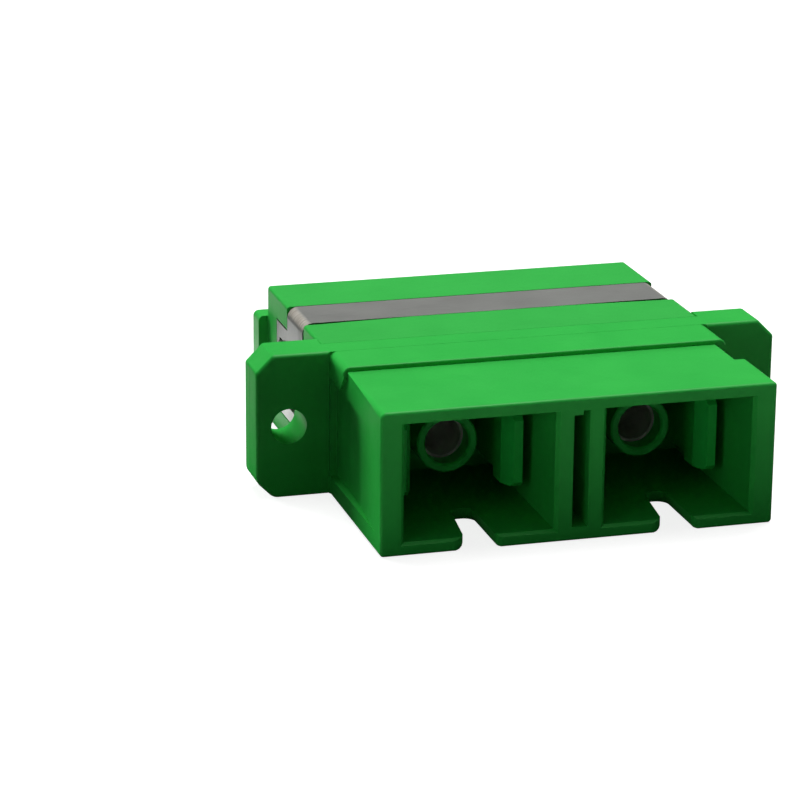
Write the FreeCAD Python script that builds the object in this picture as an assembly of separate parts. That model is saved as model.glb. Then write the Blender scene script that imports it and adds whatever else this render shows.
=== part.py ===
import FreeCAD, Part
import os
import math

# SC duplex fibre adapter, angled-polish (green) type, panel mounting.
# Axes: X across the two ports, Y along the fibre (front mouth toward -Y),
# Z up.  Origin: middle of the panel seat, half way between the two screw
# holes on the rear face of the flange.  Millimetres.

# ---------------------------------------------------------------- driving
PORT_PITCH = 12.70        # distance between the two fibre axes
BODY_W = 25.40            # width of the rear housing and of the neck
FRONT_W = 25.20           # width of the front housing
BODY_H = 9.40             # height of flange, shoulder and rear housing
FRONT_H = 9.10            # height of the front housing ahead of the shoulder
AXIS_Z = 4.55             # height of the fibre axes above the underside

HALF_LEN = 14.10          # mouth to mating plane, both ways
Y_SHOULDER = 8.65         # front of the raised shoulder
Y_FLANGE_F = 12.15        # front face of the flange
Y_FLANGE_R = 15.30        # rear face of the flange: the panel seat
Y_JOINT = 14.00           # where the rear housing butts on the front one

FLANGE_W = 34.60          # overall width of the flange
FLANGE_CHAMFER = 1.10     # 45 degree corner cuts of the flange
FLANGE_CORNER_R = 0.30    # rounding where the upper corner cuts meet the sides
FLANGE_CORNER_RL = 0.80   # the same for the lower corner cuts
FLANGE_EDGE_R = 0.24      # rounding round both faces of the flange
HOLE_PITCH = 30.40        # distance between the screw holes
HOLE_R = 1.15             # screw hole radius
HOLE_Z = 4.70             # height of the screw holes
SEAT_Z = 4.70             # height of the origin above the underside

PORT_W = 9.50             # plug opening, width
PORT_H = 7.50             # plug opening, height
LEADIN_X = 0.22           # lead-in at the mouth, sideways
LEADIN_BOTTOM = 0.16      # lead-in at the mouth, floor
LEADIN_TOP = 0.05         # lead-in at the mouth, roof
LEADIN_Y = 0.25           # depth of the lead-in
PORT_DEPTH = 13.10        # mouth to the holder seat
SEAT_POCKET_W = 10.00     # pocket for the holder plates
SEAT_POCKET_H = 8.00

KEY_W = 2.10              # keyway in the floor of each port
KEY_L = 5.30              # keyway length from the mouth
KEY_LEFT = 0.85           # left side of the keyway at the mouth, from the axis
KEY_R = 0.50              # rounding of the keyway mouth, right side
KEY_RL = 0.95             # rounding of the keyway mouth, left side
KEY_BACK = 0.40           # left side of the keyway at its back end
KEY_FOOT = 0.30           # lower edge of the keyway eased by this much
KEY_END_R = 0.60          # rounding of the back end of the keyway

SLOT_W = 1.02             # coring slot in the wall between the ports
SLOT_DEPTH = 11.00
SLOT_Z0 = 0.87
SLOT_Z1 = 8.03
SLOT_STEP_X = 0.08        # where the slot roof steps up
SLOT_STEP_Z = 8.30

EDGE_R = 0.22             # rounding of the long outer edges
EDGE_FL = 0.40            # the same, upper left edge of the front housing
EDGE_SHOULDER = 0.50      # the same, upper edges of the shoulder
FOOT_R = 0.25             # rounding of the long lower edges
RIM_R = 0.20              # rounding of the mouth outline
WITNESS_W = 0.05          # fine lines across the top
WITNESS_D = 0.03

RECESS_L = 0.24           # depth of the grip recess, left side
RECESS_R = 0.80           # depth of the grip recess, right side
RECESS_DRAFT_Y = 0.80     # where the left side starts to draw in
RECESS_Y0 = 5.60          # front end of the left grip recess
RECESS_YR = 5.20          # front end of the right grip recess
RECESS_Y1 = 11.90         # rear end of the grip recess
RECESS_Z0 = 1.25          # top of the ledge under the recess
CAP_Z = 7.75              # underside of the shoulder where it laps the sides
RELIEF_X = 0.13           # shallow relief ahead of the grip recess
RELIEF_Y0 = 2.75
RELIEF_Z1 = 7.30

EAR_X = 13.32             # outer face of the rear ears
EAR_IN = 11.75            # inner face of the rear ears
EAR_T = 1.55              # ears stand this far behind the rear mouth
EAR_Z0 = 1.80
EAR_Z1 = 7.30

TUBE_OD = 3.90            # sleeve tube
TUBE_ID = 3.30
LIP_ID = 2.84             # retaining lip at the tip of the tube
Y_TUBE_TIP = 7.05         # tip of the sleeve tube from the mouth
TIP_CHAMFER = 0.10
MOUTH_CONE = 0.13         # flare at the tip of the tube
PLATE_W = 9.90            # holder base plate
PLATE_H = 7.90
PLATE_T = 1.00

ARM_TIP_Y = 4.20          # tip of the latch arms from the mouth
ARM_HEAD_END = 6.75       # back of the hook head
ARM_IN = 2.92             # hook peak from the fibre axis
ARM_STEM_IN = 3.45        # stem, inner face from the fibre axis
ARM_OUT = 4.00            # outer face from the fibre axis
ARM_HALF_H = 2.30         # half height of an arm
ARM_PEAK_Y = 5.30         # where the lead-in slope reaches the hook peak
ARM_TIP_T = 0.55          # thickness of an arm at its tip

SLEEVE_OD = 3.20          # split alignment sleeve
SLEEVE_ID = 2.50
SLEEVE_L = 11.40
SLEEVE_SLIT = 0.35
LIP_LEN = HALF_LEN - SLEEVE_L / 2.0 - Y_TUBE_TIP   # lip ends at the sleeve

CLIP_T = 0.30             # clip sheet thickness
CLIP_Y0 = 18.65           # front edge of the clip
CLIP_Y1 = 22.65           # rear edge of the band
CLIP_WIDE_Y1 = 25.55      # rear edge of the wide side plates
CLIP_WIDE_Z = 7.77        # top of the wide side plates
CLIP_Z0 = 1.70            # lower end of the side plates
CLIP_BEND_R = 0.70        # outer bend radius
TANG_Z0 = 2.75            # spring tang, lower edge
TANG_Z1 = 6.62            # spring tang, upper edge
TANG_GAP = 0.16           # cut around the tang
TANG_ROOT_Y = 24.80       # bend line of the tang
TANG_ANGLE = 21.0         # degrees the tang stands out
GROOVE_D = 0.30           # clip groove depth
GROOVE_GAP_F = 0.36       # groove clearance ahead of the clip
GROOVE_GAP_MID = 0.06     # the same, half way along the top
GROOVE_BOW_X0 = 11.60     # half length of the bowed stretch of that wall
GROOVE_BOW_X1 = 5.50      # half length of its straight middle
GUTTER_D = 0.75           # depth of the narrow gutter ahead of the clip
GROOVE_GAP_R = 0.10       # groove clearance behind the clip

HALF_W = BODY_W / 2.0
FRONT_HW = FRONT_W / 2.0
TOTAL = 2.0 * HALF_LEN


# ---------------------------------------------------------------- helpers
def box(x0, x1, y0, y1, z0, z1):
    return Part.makeBox(x1 - x0, y1 - y0, z1 - z0,
                        FreeCAD.Vector(x0, y0, z0))


def prism_y(points, y0, y1):
    """Solid from an outline of (x, z) points, drawn along Y."""
    vs = [FreeCAD.Vector(x, y0, z) for x, z in points]
    face = Part.Face(Part.makePolygon(vs + [vs[0]]))
    return face.extrude(FreeCAD.Vector(0, y1 - y0, 0))


def prism_x(points, x0, x1):
    """Solid from an outline of (y, z) points, drawn along X."""
    vs = [FreeCAD.Vector(x0, y, z) for y, z in points]
    face = Part.Face(Part.makePolygon(vs + [vs[0]]))
    return face.extrude(FreeCAD.Vector(x1 - x0, 0, 0))


def prism_z(points, z0, z1):
    """Solid from an outline of (x, y) points, drawn along Z."""
    vs = [FreeCAD.Vector(x, y, z0) for x, y in points]
    face = Part.Face(Part.makePolygon(vs + [vs[0]]))
    return face.extrude(FreeCAD.Vector(0, 0, z1 - z0))


def rounded_bar(x0, x1, y0, y1, z0, z1, r_top, r_bot, r_left=None):
    """Bar along Y with its four long edges rounded."""
    b = box(x0, x1, y0, y1, z0, z1)
    r_left = r_top if r_left is None else r_left
    for z, x, r in ((z1, x0, r_left), (z1, x1, r_top), (z0, x0, r_bot),
                    (z0, x1, r_bot)):
        edges = []
        for e in b.Edges:
            if len(e.Vertexes) != 2:
                continue
            a, c = e.Vertexes[0].Point, e.Vertexes[1].Point
            if (abs(a.x - c.x) < 1e-6 and abs(a.z - c.z) < 1e-6
                    and abs(a.z - z) < 1e-6 and abs(a.x - x) < 1e-6):
                edges.append(e)
        b = b.makeFillet(r, edges)
    return b


def frustum(cx, w0, zb0, zt0, y0, w1, zb1, zt1, y1):
    """Rectangular funnel along Y, all faces flat."""
    def ring(w, zb, zt, y):
        return [FreeCAD.Vector(cx - w, y, zb), FreeCAD.Vector(cx + w, y, zb),
                FreeCAD.Vector(cx + w, y, zt), FreeCAD.Vector(cx - w, y, zt)]
    a, b = ring(w0, zb0, zt0, y0), ring(w1, zb1, zt1, y1)
    faces = [Part.Face(Part.makePolygon(a + [a[0]])),
             Part.Face(Part.makePolygon(b + [b[0]]))]
    for i in range(4):
        j = (i + 1) % 4
        faces.append(Part.Face(Part.makePolygon([a[i], a[j], b[j], b[i],
                                                 a[i]])))
    return Part.makeSolid(Part.makeShell(faces))


def cyl_y(r, y0, y1, cx, cz):
    return Part.makeCylinder(r, y1 - y0, FreeCAD.Vector(cx, y0, cz),
                             FreeCAD.Vector(0, 1, 0))


def cone_y(r0, r1, y0, y1, cx, cz):
    return Part.makeCone(r0, r1, y1 - y0, FreeCAD.Vector(cx, y0, cz),
                         FreeCAD.Vector(0, 1, 0))


def keyway_outline(cx, z, o):
    """Plan of the keyway at height z, widened by o."""
    h, r = KEY_W / 2.0 + o, KEY_R - o
    hl, rl = KEY_LEFT + o, KEY_RL - o
    c = math.sqrt(0.5)

    def p(x, y):
        return FreeCAD.Vector(cx + x, y, z)

    def corner(side, x, rx, ry):
        # round between the slot side and the mouth face
        return Part.Arc(p(side * x, ry), p(side * (x + rx * (1 - c)), ry * (1 - c)),
                        p(side * (x + rx), 0.0)).toShape()
    # back end of the slot, its corners rounded
    back, b = KEY_L + o, KEY_BACK + o
    q, e = KEY_END_R + o, (KEY_END_R + o) * (1.0 - c)
    back_l = Part.Arc(p(-b, back - q), p(-b + e, back - e),
                      p(-b + q, back)).toShape()
    back_r = Part.Arc(p(h - q, back), p(h - e, back - e),
                      p(h, back - q)).toShape()
    edges = [Part.makeLine(p(-hl, KEY_RL), p(-b, back - q)),
             back_l,
             Part.makeLine(p(-b + q, back), p(h - q, back)),
             back_r,
             Part.makeLine(p(h, back - q), p(h, KEY_R)),
             corner(1, h, r, KEY_R),
             Part.makeLine(p(h + r, 0.0), p(h + r, -1.0)),
             Part.makeLine(p(h + r, -1.0), p(-hl - rl, -1.0)),
             Part.makeLine(p(-hl - rl, -1.0), p(-hl - rl, 0.0)),
             corner(-1, hl, rl, KEY_RL)]
    return Part.Wire(Part.__sortEdges__(edges))


def keyway(cx):
    """Floor slot open at the mouth, its mouth corners and lower edge rounded."""
    top = AXIS_Z - PORT_H / 2.0 + 0.05
    slot = Part.Face(keyway_outline(cx, -1.0, 0.0)).extrude(
        FreeCAD.Vector(0, 0, top + 1.0))
    # the lower edge is eased in three steps along a quarter round
    f, n = KEY_FOOT, 3
    steps = []
    for i in range(n):
        z, o = [], []
        for k in (i, i + 1):
            a = math.radians(90.0 * k / n)
            z.append(f * (1.0 - math.cos(a)))
            o.append(f * (1.0 - math.sin(a)))
        steps.append(Part.makeLoft([keyway_outline(cx, z[0], o[0]),
                                    keyway_outline(cx, z[1], o[1])],
                                   True, True))
    skirt = Part.Face(keyway_outline(cx, -1.0, f)).extrude(
        FreeCAD.Vector(0, 0, 1.0))
    return slot.fuse(steps + [skirt])


def port_cuts():
    """Everything hollow that both ends share, cut from a mouth at y = 0."""
    cuts = []
    zb = AXIS_Z - PORT_H / 2.0
    zt = AXIS_Z + PORT_H / 2.0
    for s in (-1, 1):
        cx = s * PORT_PITCH / 2.0
        cuts.append(box(cx - PORT_W / 2, cx + PORT_W / 2,
                        -1.0, PORT_DEPTH + 0.01, zb, zt))
        w = PORT_W / 2.0
        k = 1.0 / LEADIN_Y
        cuts.append(frustum(cx, w + LEADIN_X * (1 + 0.2 * k),
                            zb - LEADIN_BOTTOM * (1 + 0.2 * k),
                            zt + LEADIN_TOP * (1 + 0.2 * k), -0.2,
                            w, zb, zt, LEADIN_Y))
        cuts.append(keyway(cx))
    cuts.append(box(-SLOT_W / 2, SLOT_W / 2, -1.0, SLOT_DEPTH,
                    SLOT_Z0, SLOT_Z1))
    cuts.append(box(SLOT_STEP_X, SLOT_W / 2, -1.0, SLOT_DEPTH,
                    SLOT_Z1 - 0.1, SLOT_STEP_Z))
    return cuts


def mirror_y(shape):
    """Front to back about the mating plane."""
    return shape.mirror(FreeCAD.Vector(0, HALF_LEN, 0),
                        FreeCAD.Vector(0, 1, 0))


def mirror_x(shape):
    return shape.mirror(FreeCAD.Vector(0, 0, 0), FreeCAD.Vector(1, 0, 0))


def solid_of(shape):
    shape = shape.removeSplitter()
    if len(shape.Solids) != 1:
        raise RuntimeError("expected one solid, got %d" % len(shape.Solids))
    return shape.Solids[0]


# ---------------------------------------------------------------- front housing
def make_front_housing():
    body = rounded_bar(-FRONT_HW, FRONT_HW, 0.0, Y_FLANGE_F + 0.5, 0.0, FRONT_H,
                       EDGE_R, FOOT_R, EDGE_FL)
    # soft outline of the mouth
    rim = [e for e in body.Edges
           if max(abs(v.Point.y) for v in e.Vertexes) < 1e-6]
    body = body.makeFillet(RIM_R, rim)
    shoulder = rounded_bar(-FRONT_HW, FRONT_HW, Y_SHOULDER, Y_FLANGE_F + 0.5, 0.0,
                           BODY_H, EDGE_SHOULDER, FOOT_R)
    neck = rounded_bar(-HALF_W, HALF_W, Y_FLANGE_F, Y_JOINT, 0.0, BODY_H,
                       EDGE_R, FOOT_R)
    edge = []
    for e in shoulder.Edges:
        ps = [v.Point for v in e.Vertexes]
        if (max(abs(p.y - Y_SHOULDER) for p in ps) < 1e-6
                and min(p.z for p in ps) > BODY_H - EDGE_SHOULDER - 1e-3):
            edge.append(e)
    shoulder = shoulder.makeFillet(0.12, edge)
    w, c = FLANGE_W / 2.0, FLANGE_CHAMFER
    flange = prism_y([(-w + c, 0), (w - c, 0), (w, c), (w, BODY_H - c),
                      (w - c, BODY_H), (-w + c, BODY_H), (-w, BODY_H - c),
                      (-w, c)], Y_FLANGE_F, Y_FLANGE_R)
    # soften the ends of the corner cuts, then the outlines of both faces
    corners = [(w - c, 0.0), (w, c), (w, BODY_H - c), (w - c, BODY_H)]
    for up, rad in ((True, FLANGE_CORNER_R), (False, FLANGE_CORNER_RL)):
        flange = flange.makeFillet(rad, [
            e for e in flange.Edges
            if len(e.Vertexes) == 2
            and abs(e.Vertexes[0].Point.x - e.Vertexes[1].Point.x) < 1e-6
            and abs(e.Vertexes[0].Point.z - e.Vertexes[1].Point.z) < 1e-6
            and (e.Vertexes[0].Point.z > BODY_H / 2) == up
            and any(abs(abs(e.Vertexes[0].Point.x) - px) < 1e-6
                    and abs(e.Vertexes[0].Point.z - pz) < 1e-6
                    for px, pz in corners)])
    rim = [e for e in flange.Edges
           if max(abs(v.Point.y - Y_FLANGE_F) for v in e.Vertexes) < 1e-6
           or max(abs(v.Point.y - Y_FLANGE_R) for v in e.Vertexes) < 1e-6]
    flange = flange.makeFillet(FLANGE_EDGE_R, rim)
    body = body.fuse([shoulder, neck, flange])
    cuts = port_cuts()
    for s in (-1, 1):
        cx = s * PORT_PITCH / 2.0
        cuts.append(box(cx - SEAT_POCKET_W / 2, cx + SEAT_POCKET_W / 2,
                        PORT_DEPTH, Y_JOINT + 1.0,
                        AXIS_Z - SEAT_POCKET_H / 2, AXIS_Z + SEAT_POCKET_H / 2))
        # screw hole
        cuts.append(cyl_y(HOLE_R, Y_FLANGE_F - 1, Y_FLANGE_R + 1,
                          s * HOLE_PITCH / 2, HOLE_Z))
        # grip recess: open at the top ahead of the shoulder, closed by a
        # ledge below, lapped by the shoulder further back
        # (right side; the left one is shallow and drawn in toward the back)
        xo = FRONT_HW + 1.0
        if s > 0:
            xi = FRONT_HW - RECESS_R
            outline = [(RECESS_YR, RECESS_Z0), (RECESS_Y1, RECESS_Z0),
                       (RECESS_Y1, CAP_Z), (Y_SHOULDER + 0.9, CAP_Z),
                       (Y_SHOULDER, CAP_Z + 0.9), (Y_SHOULDER, BODY_H + 1.0),
                       (RECESS_YR, BODY_H + 1.0)]
            cuts.append(prism_x(outline, xi, xo))
            cuts.append(prism_x([(RELIEF_Y0, RECESS_Z0),
                                 (RECESS_YR + 0.05, RECESS_Z0),
                                 (RECESS_YR + 0.05, RELIEF_Z1 + 0.12),
                                 (RELIEF_Y0, RELIEF_Z1 - 0.12)],
                                FRONT_HW - RELIEF_X, xo))
        else:
            d, r = RECESS_L, RELIEF_X
            slope = d / (Y_SHOULDER - RECESS_DRAFT_Y)
            d1 = slope * (RELIEF_Y0 - RECESS_DRAFT_Y) + r
            d2 = slope * (RECESS_Y0 - RECESS_DRAFT_Y) + r
            # side face drawn in from the mouth to the shoulder
            draw = prism_z([(-FRONT_HW - 0.001, RECESS_DRAFT_Y),
                            (-FRONT_HW + d, Y_SHOULDER),
                            (-xo, Y_SHOULDER), (-xo, RECESS_DRAFT_Y)],
                           RECESS_Z0, BODY_H + 1.0)
            # its rear part runs in under the shoulder's lap
            under = prism_x([(Y_SHOULDER - 0.01, RECESS_Z0),
                             (RECESS_Y1, RECESS_Z0), (RECESS_Y1, CAP_Z),
                             (Y_SHOULDER + 0.9, CAP_Z),
                             (Y_SHOULDER - 0.01, CAP_Z + 0.9)],
                            -xo, -FRONT_HW + d)
            # shallow grip panel in it, stepped once
            panel = prism_z([(-FRONT_HW + d1, RELIEF_Y0),
                             (-FRONT_HW + d2, RECESS_Y0),
                             (-FRONT_HW + d2 + r * 0.6, RECESS_Y0 + 0.10),
                             (-FRONT_HW + d + r * 1.6, Y_SHOULDER),
                             (-FRONT_HW + d + r * 1.6, RECESS_Y1),
                             (-xo, RECESS_Y1), (-xo, RELIEF_Y0)],
                            RECESS_Z0, RELIEF_Z1)
            cuts += [draw, under, panel]
    # witness line across the top, in line with the front of the flange,
    # and a tiny bevel where the rear housing butts on
    h, d = WITNESS_W / 2.0, WITNESS_D
    for y in (Y_FLANGE_F + 0.02, Y_JOINT):
        cuts.append(prism_x([(y - h, BODY_H + 0.01), (y, BODY_H - d),
                             (y + h, BODY_H + 0.01)],
                            -HALF_W + 0.2, HALF_W - 0.2))
    # the same fine line down the outer sides of the flange
    for s in (-1, 1):
        cuts.append(prism_z([(s * (w + 0.01), Y_JOINT - h),
                             (s * (w - d), Y_JOINT),
                             (s * (w + 0.01), Y_JOINT + h)],
                            c + 0.1, BODY_H - c - 0.1))
    # notch in the rear of the flange that takes the rear housing
    cuts.append(box(-HALF_W, HALF_W, Y_JOINT, Y_FLANGE_R + 1.0, -1.0,
                    BODY_H + 1.0))
    return solid_of(body.cut(cuts))


# ---------------------------------------------------------------- rear housing
def groove_cutter():
    """Groove for the clip over the top and down both sides."""
    y0 = CLIP_Y0 - GROOVE_GAP_F
    y1 = CLIP_Y1 + GROOVE_GAP_R
    yw = CLIP_WIDE_Y1 + GROOVE_GAP_R
    zi = BODY_H - GROOVE_D
    xi = HALF_W - GROOVE_D
    r = CLIP_BEND_R - CLIP_T
    core = box(-xi, xi, y0 - 1, yw + 1, -2.0, zi)
    tops = []
    for e in core.Edges:
        a, c = e.Vertexes[0].Point, e.Vertexes[1].Point
        if (abs(a.x - c.x) < 1e-6 and abs(a.z - c.z) < 1e-6
                and abs(a.z - zi) < 1e-6):
            tops.append(e)
    core = core.makeFillet(r, tops)
    z_low = CLIP_Z0 - 0.10
    band = box(-HALF_W - 1, HALF_W + 1, y0, y1, z_low, BODY_H + 1)
    wide = box(-HALF_W - 1, HALF_W + 1, y0, yw, z_low, CLIP_WIDE_Z + 0.10)
    # narrow gutter ahead of the clip, deeper than the groove
    d = GUTTER_D
    keep = rounded_bar(-HALF_W + d, HALF_W - d, y0 - 1, y0 + 2, z_low - 2.0,
                       BODY_H - d, 0.5, 0.5)
    gutter = box(-HALF_W - 1, HALF_W + 1, y0, y0 + GROOVE_GAP_F,
                 z_low, BODY_H + 1).cut(keep)
    # front wall of the groove bows toward the clip along the top
    yn = CLIP_Y0 - GROOVE_GAP_MID
    bow = prism_z([(-GROOVE_BOW_X0, y0 - 1), (GROOVE_BOW_X0, y0 - 1),
                   (GROOVE_BOW_X0, y0), (GROOVE_BOW_X1, yn),
                   (-GROOVE_BOW_X1, yn), (-GROOVE_BOW_X0, y0)],
                  BODY_H - 3.0, BODY_H + 2)
    return band.fuse(wide).cut(core).fuse(gutter).cut(bow)


def make_rear_housing():
    body = rounded_bar(-HALF_W, HALF_W, Y_JOINT, TOTAL, 0.0, BODY_H,
                       EDGE_R, FOOT_R)
    rim = [e for e in body.Edges
           if max(abs(v.Point.y - TOTAL) for v in e.Vertexes) < 1e-6]
    body = body.makeFillet(RIM_R, rim)
    ears = []
    for s in (-1, 1):
        ear = box(EAR_IN, EAR_X, TOTAL - 0.3, TOTAL + EAR_T, EAR_Z0, EAR_Z1)
        keep = box(HALF_W, EAR_X + 1, TOTAL - 1.0, TOTAL, EAR_Z0 - 1,
                   EAR_Z1 + 1)
        ear = ear.cut(keep)
        rnd = []
        for e in ear.Edges:
            ps = [v.Point for v in e.Vertexes]
            if min(p.x for p in ps) > EAR_X - 1e-6 and (
                    abs(ps[0].z - ps[-1].z) < 1e-6):
                rnd.append(e)
        ear = ear.makeFillet(0.38, rnd)
        ears.append(ear if s > 0 else mirror_x(ear))
    body = body.fuse(ears)
    cuts = [mirror_y(c) for c in port_cuts()]
    for s in (-1, 1):
        cx = s * PORT_PITCH / 2.0
        cuts.append(box(cx - SEAT_POCKET_W / 2, cx + SEAT_POCKET_W / 2,
                        Y_JOINT - 1.0, TOTAL - PORT_DEPTH,
                        AXIS_Z - SEAT_POCKET_H / 2, AXIS_Z + SEAT_POCKET_H / 2))
    cuts.append(groove_cutter())
    h, d = WITNESS_W / 2.0, WITNESS_D
    cuts.append(prism_x([(Y_JOINT - h, BODY_H + 0.01), (Y_JOINT, BODY_H - d),
                         (Y_JOINT + h, BODY_H + 0.01)],
                        -HALF_W + 0.2, HALF_W - 0.2))
    return solid_of(body.cut(cuts))


# ---------------------------------------------------------------- inner holders
def make_holder_front(cx):
    """Half of the sleeve holder: plate, sleeve tube and two latch arms."""
    y_mid = HALF_LEN
    plate = box(cx - PLATE_W / 2, cx + PLATE_W / 2, y_mid - PLATE_T, y_mid,
                AXIS_Z - PLATE_H / 2, AXIS_Z + PLATE_H / 2)
    r = TUBE_OD / 2.0
    tube = cyl_y(r, Y_TUBE_TIP + TIP_CHAMFER, y_mid, cx, AXIS_Z)
    tip = cone_y(r - TIP_CHAMFER, r, Y_TUBE_TIP, Y_TUBE_TIP + TIP_CHAMFER,
                 cx, AXIS_Z)
    root = cone_y(r, r + 0.4, y_mid - PLATE_T - 0.4, y_mid - PLATE_T,
                  cx, AXIS_Z)
    arms = []
    z0, z1 = AXIS_Z - ARM_HALF_H, AXIS_Z + ARM_HALF_H
    yr = y_mid - PLATE_T + 0.2
    for s in (-1, 1):
        pts = [(cx + s * ARM_OUT, yr),
               (cx + s * ARM_OUT, ARM_TIP_Y),
               (cx + s * (ARM_OUT - ARM_TIP_T), ARM_TIP_Y),
               (cx + s * ARM_IN, ARM_PEAK_Y),
               (cx + s * ARM_IN, ARM_HEAD_END),
               (cx + s * ARM_STEM_IN, ARM_HEAD_END + 0.25),
               (cx + s * ARM_STEM_IN, yr - 0.8),
               (cx + s * (ARM_STEM_IN - 0.35), yr)]
        arm = prism_z(pts, z0, z1)
        # corners of the tip taken off above and below
        c = 0.30
        w0, w1 = cx + s * 2.8, cx + s * 4.2
        lo, hi = min(w0, w1), max(w0, w1)
        arm = arm.cut([
            prism_x([(ARM_TIP_Y - 0.1, z0 - 0.1), (ARM_TIP_Y + c, z0 - 0.1),
                     (ARM_TIP_Y + c, z0), (ARM_TIP_Y, z0 + c),
                     (ARM_TIP_Y - 0.1, z0 + c)], lo, hi),
            prism_x([(ARM_TIP_Y - 0.1, z1 + 0.1), (ARM_TIP_Y + c, z1 + 0.1),
                     (ARM_TIP_Y + c, z1), (ARM_TIP_Y, z1 - c),
                     (ARM_TIP_Y - 0.1, z1 - c)], lo, hi)])
        arms.append(arm)
    body = plate.fuse([tube, tip, root] + arms)
    y_lip = Y_TUBE_TIP + LIP_LEN
    cuts = [cyl_y(TUBE_ID / 2, y_lip, y_mid + 1, cx, AXIS_Z),
            cyl_y(LIP_ID / 2, Y_TUBE_TIP - 1, y_lip + 0.1, cx, AXIS_Z),
            cone_y(LIP_ID / 2 + MOUTH_CONE, LIP_ID / 2, Y_TUBE_TIP - 0.02,
                   Y_TUBE_TIP + 0.15, cx, AXIS_Z)]
    return solid_of(body.cut(cuts))


# ---------------------------------------------------------------- sleeves
def make_sleeve(cx):
    y0, y1 = HALF_LEN - SLEEVE_L / 2, HALF_LEN + SLEEVE_L / 2
    s = cyl_y(SLEEVE_OD / 2, y0, y1, cx, AXIS_Z)
    s = s.cut(cyl_y(SLEEVE_ID / 2, y0 - 1, y1 + 1, cx, AXIS_Z))
    slit = box(cx - SLEEVE_SLIT / 2, cx + SLEEVE_SLIT / 2, y0 - 1, y1 + 1,
               AXIS_Z + 0.5, AXIS_Z + 3.0)
    return solid_of(s.cut(slit))


# ---------------------------------------------------------------- clip
def make_clip():
    xo, xi = HALF_W, HALF_W - CLIP_T
    zo, zi = BODY_H, BODY_H - CLIP_T

    def hoop(y0, y1):
        outer = box(-xo, xo, y0, y1, CLIP_Z0, zo)
        inner = box(-xi, xi, y0 - 1, y1 + 1, CLIP_Z0 - 1, zi)
        o_e, i_e = [], []
        for shape, z, out in ((outer, zo, o_e), (inner, zi, i_e)):
            for e in shape.Edges:
                a, c = e.Vertexes[0].Point, e.Vertexes[1].Point
                if (abs(a.x - c.x) < 1e-6 and abs(a.z - c.z) < 1e-6
                        and abs(a.z - z) < 1e-6):
                    out.append(e)
        outer = outer.makeFillet(CLIP_BEND_R, o_e)
        inner = inner.makeFillet(CLIP_BEND_R - CLIP_T, i_e)
        return outer.cut(inner)

    band = hoop(CLIP_Y0, CLIP_Y1)
    parts, cuts = [], []
    for s in (-1, 1):
        wide = box(xi, xo, CLIP_Y0, CLIP_WIDE_Y1, CLIP_Z0, CLIP_WIDE_Z)
        # window the tang is cut from, open toward the flange
        win = box(xi - 1, xo + 1, CLIP_Y0 - 1, TANG_ROOT_Y,
                  TANG_Z0 - TANG_GAP, TANG_Z1 + TANG_GAP)
        # tang: hinged at the rear, free end toward the flange
        length = TANG_ROOT_Y - CLIP_Y0
        tang = box(xi, xo, TANG_ROOT_Y - length, TANG_ROOT_Y + 0.02,
                   TANG_Z0, TANG_Z1)
        pivot = FreeCAD.Vector((xi + xo) / 2, TANG_ROOT_Y, 0)
        tang.rotate(pivot, FreeCAD.Vector(0, 0, 1), TANG_ANGLE)
        bend = Part.makeCylinder(CLIP_T / 2, TANG_Z1 - TANG_Z0,
                                 FreeCAD.Vector(pivot.x, pivot.y, TANG_Z0),
                                 FreeCAD.Vector(0, 0, 1))
        items = [wide, win, tang, bend]
        if s < 0:
            items = [mirror_x(i) for i in items]
        parts.append(items[0])
        cuts.append(items[1])
        parts += [("late", items[2]), ("late", items[3])]
    plates = [p for p in parts if not isinstance(p, tuple)]
    late = [p[1] for p in parts if isinstance(p, tuple)]
    clip = band.fuse(plates).cut(cuts)
    clip = clip.fuse(late)
    return solid_of(clip)


# ---------------------------------------------------------------- assembly
def build():
    shapes = {}
    shapes["front_housing"] = make_front_housing()
    shapes["rear_housing"] = make_rear_housing()
    for side, s in (("left", -1), ("right", 1)):
        cx = s * PORT_PITCH / 2.0
        front = make_holder_front(cx)
        shapes["sleeve_holder_front_" + side] = front
        shapes["sleeve_holder_rear_" + side] = solid_of(mirror_y(front))
        shapes["alignment_sleeve_" + side] = make_sleeve(cx)
    shapes["panel_clip"] = make_clip()
    shift = FreeCAD.Vector(0, -Y_FLANGE_R, -SEAT_Z)
    for shape in shapes.values():
        shape.translate(shift)
    return shapes


os.makedirs("parts", exist_ok=True)
for name, shape in build().items():
    if not shape.isValid():
        raise RuntimeError("invalid shape: " + name)
    shape.exportStep("parts/%s.step" % name)
    bb = shape.BoundBox
    print("%-28s vol %8.2f  x %.2f..%.2f  y %.2f..%.2f  z %.2f..%.2f" % (
        name, shape.Volume, bb.XMin, bb.XMax, bb.YMin, bb.YMax,
        bb.ZMin, bb.ZMax))
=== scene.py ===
import math

import bpy
from mathutils import Matrix, Vector


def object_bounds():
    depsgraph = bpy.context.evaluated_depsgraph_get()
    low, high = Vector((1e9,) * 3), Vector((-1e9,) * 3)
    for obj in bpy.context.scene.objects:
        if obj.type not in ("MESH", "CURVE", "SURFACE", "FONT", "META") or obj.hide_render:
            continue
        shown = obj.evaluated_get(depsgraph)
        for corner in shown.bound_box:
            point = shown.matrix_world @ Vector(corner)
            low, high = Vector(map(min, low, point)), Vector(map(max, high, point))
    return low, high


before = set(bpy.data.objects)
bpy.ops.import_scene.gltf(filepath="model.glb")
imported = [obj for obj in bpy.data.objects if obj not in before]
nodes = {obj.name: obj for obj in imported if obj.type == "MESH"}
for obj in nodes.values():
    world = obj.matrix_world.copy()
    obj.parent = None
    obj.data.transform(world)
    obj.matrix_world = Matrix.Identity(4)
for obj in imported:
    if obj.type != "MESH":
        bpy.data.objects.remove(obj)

CAD_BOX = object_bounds()
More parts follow.
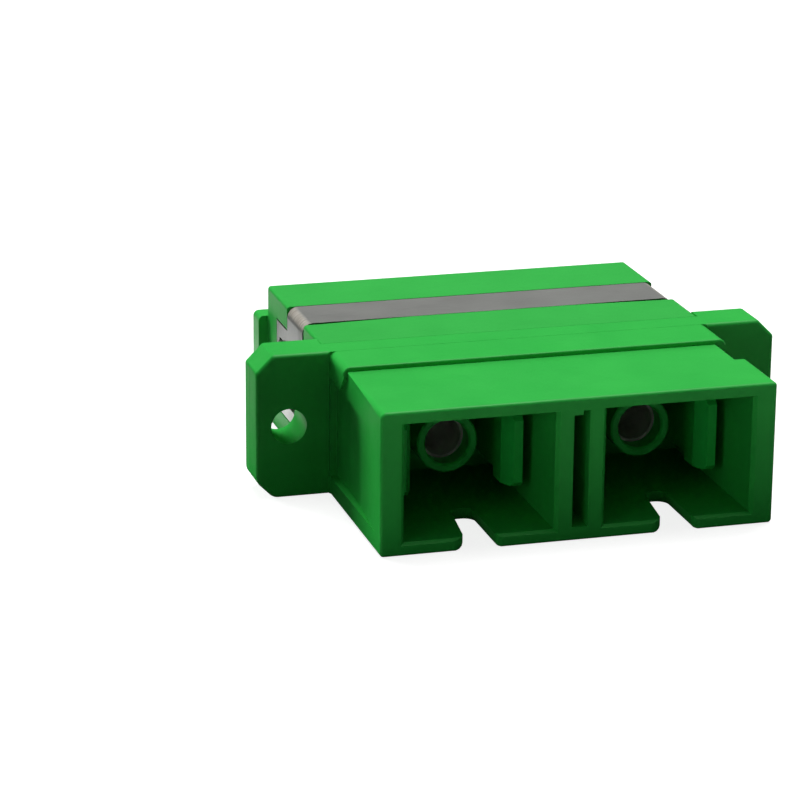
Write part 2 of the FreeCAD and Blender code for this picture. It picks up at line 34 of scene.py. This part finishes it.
MM = 0.001
scene = bpy.context.scene


# ------------------------------------------------------------------ node tools
class Tree:
    """Small helper that builds a material's node tree."""

    def __init__(self, name):
        self.mat = bpy.data.materials.new(name)
        self.mat.use_nodes = True
        self.t = self.mat.node_tree
        self.t.nodes.clear()
        self.out = self.add("ShaderNodeOutputMaterial")
        self.bsdf = self.add("ShaderNodeBsdfPrincipled")
        self.link(self.bsdf, "BSDF", self.out, "Surface")
        self.coord = self.add("ShaderNodeTexCoord")

    def add(self, kind, **props):
        n = self.t.nodes.new(kind)
        for k, v in props.items():
            setattr(n, k, v)
        return n

    def link(self, a, sa, b, sb):
        self.t.links.new(a.outputs[sa], b.inputs[sb])

    def mapping(self, scale, rot=(0, 0, 0), loc=(0, 0, 0)):
        m = self.add("ShaderNodeMapping")
        m.inputs["Scale"].default_value = scale
        m.inputs["Rotation"].default_value = rot
        m.inputs["Location"].default_value = loc
        self.link(self.coord, "Object", m, "Vector")
        return m

    def noise(self, scale, detail=3.0, rough=0.5, vec=None, distort=0.0):
        n = self.add("ShaderNodeTexNoise")
        n.inputs["Scale"].default_value = scale
        n.inputs["Detail"].default_value = detail
        n.inputs["Roughness"].default_value = rough
        n.inputs["Distortion"].default_value = distort
        if vec is None:
            self.link(self.coord, "Object", n, "Vector")
        else:
            self.link(vec, "Vector", n, "Vector")
        return n

    def ramp(self, src, sock, stops):
        r = self.add("ShaderNodeValToRGB")
        els = r.color_ramp.elements
        while len(els) > 1:
            els.remove(els[-1])
        els[0].position, els[0].color = stops[0][0], stops[0][1]
        for p, c in stops[1:]:
            e = els.new(p)
            e.color = c
        self.link(src, sock, r, "Fac")
        return r

    def math(self, op, a, b=None, c=None, clamp=False):
        m = self.add("ShaderNodeMath", operation=op, use_clamp=clamp)
        for i, v in enumerate((a, b, c)):
            if v is None:
                continue
            if isinstance(v, (int, float)):
                m.inputs[i].default_value = v
            else:
                self.t.links.new(v, m.inputs[i])
        return m.outputs[0]

    def mix(self, fac, a, b, blend="MIX"):
        m = self.add("ShaderNodeMix", data_type="RGBA", blend_type=blend)
        for sock, v in ((m.inputs[0], fac), (m.inputs[6], a), (m.inputs[7], b)):
            if isinstance(v, (int, float)):
                sock.default_value = v
            elif isinstance(v, tuple):
                sock.default_value = v
            else:
                self.t.links.new(v, sock)
        return m.outputs[2]

    def map_range(self, v, f0, f1, t0, t1):
        m = self.add("ShaderNodeMapRange")
        self.t.links.new(v, m.inputs["Value"])
        for k, x in (("From Min", f0), ("From Max", f1), ("To Min", t0), ("To Max", t1)):
            m.inputs[k].default_value = x
        return m.outputs["Result"]

    def bump(self, height, strength, distance, below=None):
        b = self.add("ShaderNodeBump")
        b.inputs["Strength"].default_value = strength
        b.inputs["Distance"].default_value = distance
        self.t.links.new(height, b.inputs["Height"])
        if below is not None:
            self.t.links.new(below, b.inputs["Normal"])
        return b.outputs["Normal"]


def g(v):
    return (v, v, v, 1.0)


# ------------------------------------------------------------------ materials
def plastic(name, base, dark, rough=0.42, seed=0.0):
    """Satin injection-moulded thermoplastic with a fine spark-eroded skin."""
    t = Tree(name)
    b = t.bsdf
    off = t.mapping((1, 1, 1), loc=(seed, seed * 0.37, seed * 0.71))
    cloud = t.noise(210.0, 3.0, 0.55, off)          # slow cloudiness, ~5 mm
    flow = t.noise(95.0, 2.0, 0.5, t.mapping((1.0, 0.28, 1.0), loc=(seed, 0, 0)), 0.6)
    speck = t.noise(3800.0, 2.0, 0.5, off)          # pigment speckle
    c = t.math("ADD", t.math("MULTIPLY", cloud.outputs["Fac"], 0.55),
               t.math("MULTIPLY", flow.outputs["Fac"], 0.30))
    c = t.math("ADD", c, t.math("MULTIPLY", speck.outputs["Fac"], 0.15))
    f = t.map_range(c, 0.34, 0.66, 0.0, 1.0)
    col = t.mix(f, dark, base)
    t.t.links.new(col, b.inputs["Base Color"])
    # skin: fine erosion grain, a slightly larger orange-peel under it
    grain = t.noise(9000.0, 3.0, 0.6, off)
    peel = t.noise(1500.0, 2.0, 0.5, off)
    n1 = t.bump(peel.outputs["Fac"], 0.20, 0.00004)
    n2 = t.bump(grain.outputs["Fac"], 0.22, 0.00002, n1)
    t.t.links.new(n2, b.inputs["Normal"])
    # gloss drifts a little, with sparse rubbed patches
    rub = t.noise(340.0, 4.0, 0.65, off)
    r = t.map_range(rub.outputs["Fac"], 0.30, 0.72, rough + 0.05, rough - 0.07)
    r = t.math("ADD", r, t.math("MULTIPLY", t.math("SUBTRACT", grain.outputs["Fac"], 0.5), 0.10))
    t.t.links.new(r, b.inputs["Roughness"])
    b.inputs["IOR"].default_value = 1.50
    b.inputs["Specular IOR Level"].default_value = 0.22
    return t.mat


def steel(name):
    """Thin cold-rolled stainless strip, lightly brushed along its length."""
    t = Tree(name)
    b = t.bsdf
    long_x = t.noise(1.0, 4.0, 0.6, t.mapping((260.0, 9000.0, 900.0)))
    long_z = t.noise(1.0, 4.0, 0.6, t.mapping((900.0, 9000.0, 260.0)))
    lines = t.math("MULTIPLY", t.math("ADD", long_x.outputs["Fac"], long_z.outputs["Fac"]), 0.5)
    cloud = t.noise(260.0, 3.0, 0.6)
    f = t.math("ADD", t.math("MULTIPLY", lines, 0.65), t.math("MULTIPLY", cloud.outputs["Fac"], 0.35))
    f = t.map_range(f, 0.36, 0.64, 0.0, 1.0)
    col = t.mix(f, (0.415, 0.424, 0.402, 1), (0.490, 0.499, 0.476, 1))
    # the sheared front and rear edges (faces along ±Y) are painted near-black: painted shade for the
    # narrow gap between the clip and its groove
    geo = t.add("ShaderNodeTexCoord")
    xyz = t.add("ShaderNodeSeparateXYZ")
    t.t.links.new(geo.outputs["Normal"], xyz.inputs[0])
    painted_gap_shade = t.math("ABSOLUTE", xyz.outputs["Y"])
    painted_gap_shade = t.map_range(painted_gap_shade, 0.75, 0.95, 0.0, 1.0)
    col = t.mix(painted_gap_shade, col, (0.10, 0.102, 0.096, 1))
    # the stretched skin of the bends is matt and paler, with fine streaks
    nx = t.math("ABSOLUTE", xyz.outputs["X"])
    nz = t.math("ABSOLUTE", xyz.outputs["Z"])
    bend = t.math("MULTIPLY", nx, nz)
    streak = t.noise(1.0, 3.0, 0.6, t.mapping((420.0, 2600.0, 420.0), loc=(0.3, 0, 0)))
    bend = t.map_range(bend, 0.10, 0.42, 0.0, 1.0)
    pale = t.mix(t.map_range(streak.outputs["Fac"], 0.38, 0.62, 0.0, 1.0),
                 (0.36, 0.33, 0.28, 1), (0.56, 0.53, 0.475, 1))
    col = t.mix(bend, col, pale)
    t.t.links.new(col, b.inputs["Base Color"])
    met = t.map_range(bend, 0.0, 1.0, 1.0, 0.35)
    t.t.links.new(met, b.inputs["Metallic"])
    r = t.map_range(f, 0.0, 1.0, 0.48, 0.38)
    r = t.math("ADD", r, t.math("MULTIPLY", bend, 0.15))
    t.t.links.new(r, b.inputs["Roughness"])
    n1 = t.bump(lines, 0.22, 0.00002)
    t.t.links.new(n1, b.inputs["Normal"])
    return t.mat


def ceramic(name):
    """Ground zirconia sleeve; its mid-grey colour, darker than white zirconia, is painted shade for
    the deep bore.
    """
    t = Tree(name)
    b = t.bsdf
    cloud = t.noise(600.0, 3.0, 0.5)
    rings = t.noise(1.0, 3.0, 0.6, t.mapping((500.0, 14000.0, 500.0)))
    f = t.map_range(cloud.outputs["Fac"], 0.35, 0.65, 0.0, 1.0)
    col = t.mix(f, (0.44, 0.435, 0.395, 1), (0.52, 0.51, 0.465, 1))
    t.t.links.new(col, b.inputs["Base Color"])
    r = t.map_range(rings.outputs["Fac"], 0.3, 0.7, 0.36, 0.44)
    t.t.links.new(r, b.inputs["Roughness"])
    t.t.links.new(t.bump(rings.outputs["Fac"], 0.06, 0.00001), b.inputs["Normal"])
    b.inputs["IOR"].default_value = 1.9
    return t.mat


GREEN = (0.026, 0.482, 0.060, 1.0)
GREEN_DK = (0.020, 0.434, 0.053, 1.0)
mat_front = plastic("moulded_green_front", GREEN, GREEN_DK, 0.46, 0.0)
mat_rear = plastic("moulded_green_rear", (0.030, 0.452, 0.062, 1.0),
                   (0.024, 0.408, 0.054, 1.0), 0.47, 0.13)
# sleeve holders: the same green plastic as the housings, coloured lighter as painted light for the
# inside of the ports
mat_holder_painted_light = plastic("holder_green", (0.020, 0.560, 0.070, 1.0),
                     (0.016, 0.510, 0.062, 1.0), 0.38, 0.29)
mat_clip = steel("clip_steel")
mat_sleeve = ceramic("sleeve_zirconia_painted_shade")

for name, ob in nodes.items():
    if name == "front_housing":
        m = mat_front
    elif name == "rear_housing":
        m = mat_rear
    elif name.startswith("sleeve_holder"):
        m = mat_holder_painted_light
    elif name.startswith("alignment_sleeve"):
        m = mat_sleeve
    else:
        m = mat_clip
    for s in ob.material_slots:
        s.material = m

# ------------------------------------------------------------------ stage
low = CAD_BOX[0][2]


def plane(name, z, x0=-2.0, x1=2.0, y0=-2.0, y1=2.0):
    me = bpy.data.meshes.new(name)
    me.from_pydata([(x0, y0, z), (x1, y0, z), (x1, y1, z), (x0, y1, z)], [], [(0, 1, 2, 3)])
    ob = bpy.data.objects.new(name, me)
    scene.collection.objects.link(ob)
    return ob


def matte(name, value, glow=0.0):
    mt = bpy.data.materials.new(name)
    mt.use_nodes = True
    n = mt.node_tree.nodes["Principled BSDF"]
    n.inputs["Base Color"].default_value = (value, value, value, 1)
    n.inputs["Roughness"].default_value = 0.9
    n.inputs["Specular IOR Level"].default_value = 0.0
    n.inputs["Emission Color"].default_value = (1, 1, 1, 1)
    n.inputs["Emission Strength"].default_value = glow
    return mt


# white sweep the part stands on, and a darker bench below it that gives the
# part its weak light from underneath
floor = plane("studio_floor", low)
floor.data.materials.append(matte("studio_floor", 0.40, 0.84))
floor.visible_diffuse = False
floor.visible_glossy = False
floor.visible_transmission = False
floor.visible_shadow = False
bench = plane("studio_bench", low - 0.0002)
bench.data.materials.append(matte("studio_bench", 0.035))
# pale cards on the bench: one close to the left side, one some way ahead of
# the mouths; the bench between them and the part stays dark
card_left = plane("studio_card_left", low - 0.0001, -0.026, -0.0135, -0.0190, -0.0125)
card_left.data.materials.append(matte("studio_card_left", 0.70))
card_front = plane("studio_card_front", low - 0.0001, -0.20, 0.25, -0.30, -0.0275)
card_front.data.materials.append(matte("studio_card_front", 0.62))
card_side = plane("studio_card_side", low - 0.0001, -0.070, -0.0178, -0.0030, 0.045)
card_side.data.materials.append(matte("studio_card_side", 0.62))
card_right = plane("studio_card_right", low - 0.0001, 0.0165, 0.060, -0.024, -0.0065)
card_right.data.materials.append(matte("studio_card_right", 0.30))
# upright black flag that keeps the front light off the left ear
flag = plane("studio_flag", 0.0, -0.034, -0.0165, 0.0040, 0.0130)
flag.rotation_euler = (math.radians(90), 0, 0)
flag.location = (0, -0.0125, low)
flag.data.materials.append(matte("studio_flag", 0.02))
# and a pale card behind it on the left, seen only in the gloss of the left
# faces and of the clip
card_gloss = plane("studio_card_gloss", low - 0.00005, -0.120, -0.0185, 0.004, 0.019)
card_gloss.data.materials.append(matte("studio_card_gloss", 0.18))
card_gloss.visible_diffuse = False
card_clip = plane("studio_card_clip", low - 0.00005, -0.0212, -0.0135, 0.010, 0.060)
card_clip.data.materials.append(matte("studio_card_clip", 0.90, 1.0))
card_clip.visible_diffuse = False
card_far = plane("studio_card_far", low - 0.00005, 0.0150, 0.120, -0.010, 0.080)
card_far.data.materials.append(matte("studio_card_far", 0.60, 0.25))
card_far.visible_diffuse = False
for ob in (bench, card_left, card_side, card_front, card_right, flag, card_gloss, card_clip,
           card_far):
    ob.visible_camera = False
    ob.visible_glossy = ob in (card_gloss, card_clip, card_far)

# ------------------------------------------------------------------ light
world = bpy.data.worlds.new("studio")
scene.world = world
world.use_nodes = True
wn = world.node_tree.nodes
bg = wn["Background"]
# soft room light from above the bench, hardly any from below it
wc = wn.new("ShaderNodeTexCoord")
ws = wn.new("ShaderNodeSeparateXYZ")
wr = wn.new("ShaderNodeMapRange")
for k, x in (("From Min", -0.05), ("From Max", 0.03), ("To Min", 0.02), ("To Max", 0.08)):
    wr.inputs[k].default_value = x
world.node_tree.links.new(wc.outputs["Generated"], ws.inputs[0])
world.node_tree.links.new(ws.outputs["Z"], wr.inputs["Value"])
world.node_tree.links.new(wr.outputs["Result"], bg.inputs["Strength"])
bg.inputs["Color"].default_value = (1, 1, 1, 1)


def area(name, loc, target, size_x, size_y, power, color=(1, 1, 1)):
    li = bpy.data.lights.new(name, "AREA")
    li.shape = "RECTANGLE"
    li.size, li.size_y = size_x, size_y
    li.energy = power
    li.color = color
    ob = bpy.data.objects.new(name, li)
    scene.collection.objects.link(ob)
    ob.location = loc
    d = Vector(target) - Vector(loc)
    ob.rotation_euler = d.to_track_quat("-Z", "Y").to_euler()
    return ob


area("key_overhead", (0.08, 0.16, 0.59), (0, 0, 0), 0.44, 0.38, 3.85)
side = area("side_left", (-0.30, 0.50, 0.18), (0, 0, 0), 0.24, 0.22, 2.85)
side.visible_glossy = False
left = area("fill_left", (-0.46, -0.33, 0.12), (0, 0, 0), 0.18, 0.16, 0.215)
left.visible_glossy = False
above = area("fill_above", (0, -0.24, 0.55), (0, 0, 0), 0.40, 0.14, 0.03)
above.visible_glossy = False

# ------------------------------------------------------------------ camera
AZ, EL, ROLL = math.radians(15.979), math.radians(17.566), math.radians(0.465)
F_PX, DIST = 3201.04, 200.185 * MM
TARGET = Vector((-8.585, 10.0 - 15.3, 6.586 - 4.70)) * MM
fwd = Vector((math.sin(AZ) * math.cos(EL), math.cos(AZ) * math.cos(EL), -math.sin(EL)))
right0 = Vector((math.cos(AZ), -math.sin(AZ), 0.0))
up0 = right0.cross(fwd)
right = right0 * math.cos(ROLL) + up0 * math.sin(ROLL)
up = -right0 * math.sin(ROLL) + up0 * math.cos(ROLL)
cam_data = bpy.data.cameras.new("camera")
cam_data.sensor_width = 36.0
cam_data.sensor_fit = "HORIZONTAL"
cam_data.lens = F_PX / 800.0 * 36.0
cam_data.clip_start = 0.01
cam_data.clip_end = 10.0
cam = bpy.data.objects.new("camera", cam_data)
scene.collection.objects.link(cam)
m = Matrix((right, up, -fwd)).transposed().to_4x4()
m.translation = TARGET - fwd * DIST
cam.matrix_world = m
scene.camera = cam

scene.view_settings.view_transform = "Standard"
scene.view_settings.look = "None"
scene.view_settings.exposure = 0.0
scene.view_settings.gamma = 1.0
